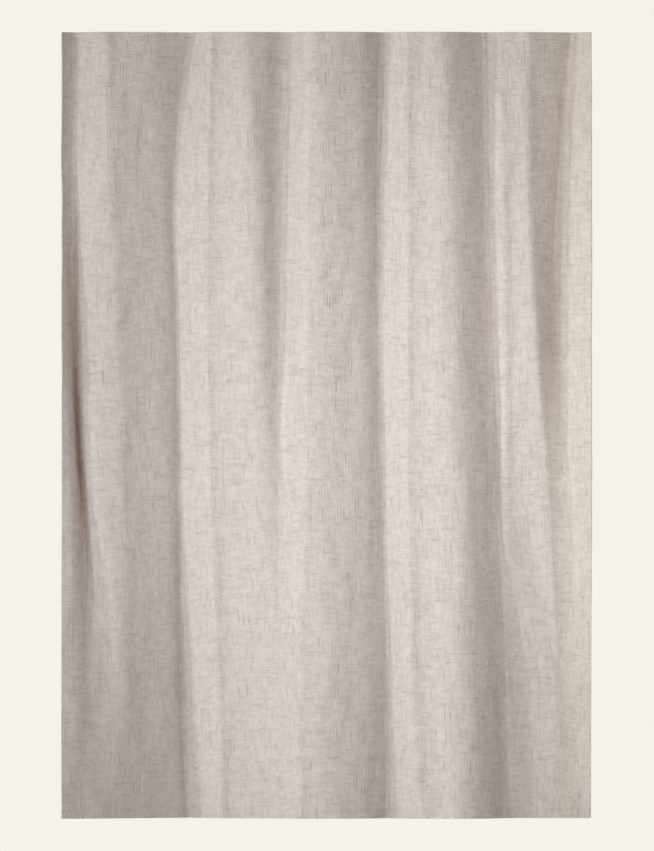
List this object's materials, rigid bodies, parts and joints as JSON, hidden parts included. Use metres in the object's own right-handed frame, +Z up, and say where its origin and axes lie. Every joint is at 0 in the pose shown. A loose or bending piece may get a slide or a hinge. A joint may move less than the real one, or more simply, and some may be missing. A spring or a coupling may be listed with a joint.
{
  "type": "curtain",
  "caption": "Curtain panel of matte greige linen-look cloth, a thin sheet hanging in soft, uneven upright folds with a deep crease near the left edge.",
  "frame": {"origin": "middle of the top edge, halfway through the cloth's thickness", "axes": "+X across the folds to the viewer's right, +Y away from the viewer behind the cloth, +Z up; the front of the cloth faces -Y"},
  "size_m": [0.5313, 0.0907, 0.7873],
  "materials": {
    "cloth": "matte"
  },
  "bodies": {
    "root": {"curtain_panel": "cloth"}
  },
  "joints": []
}
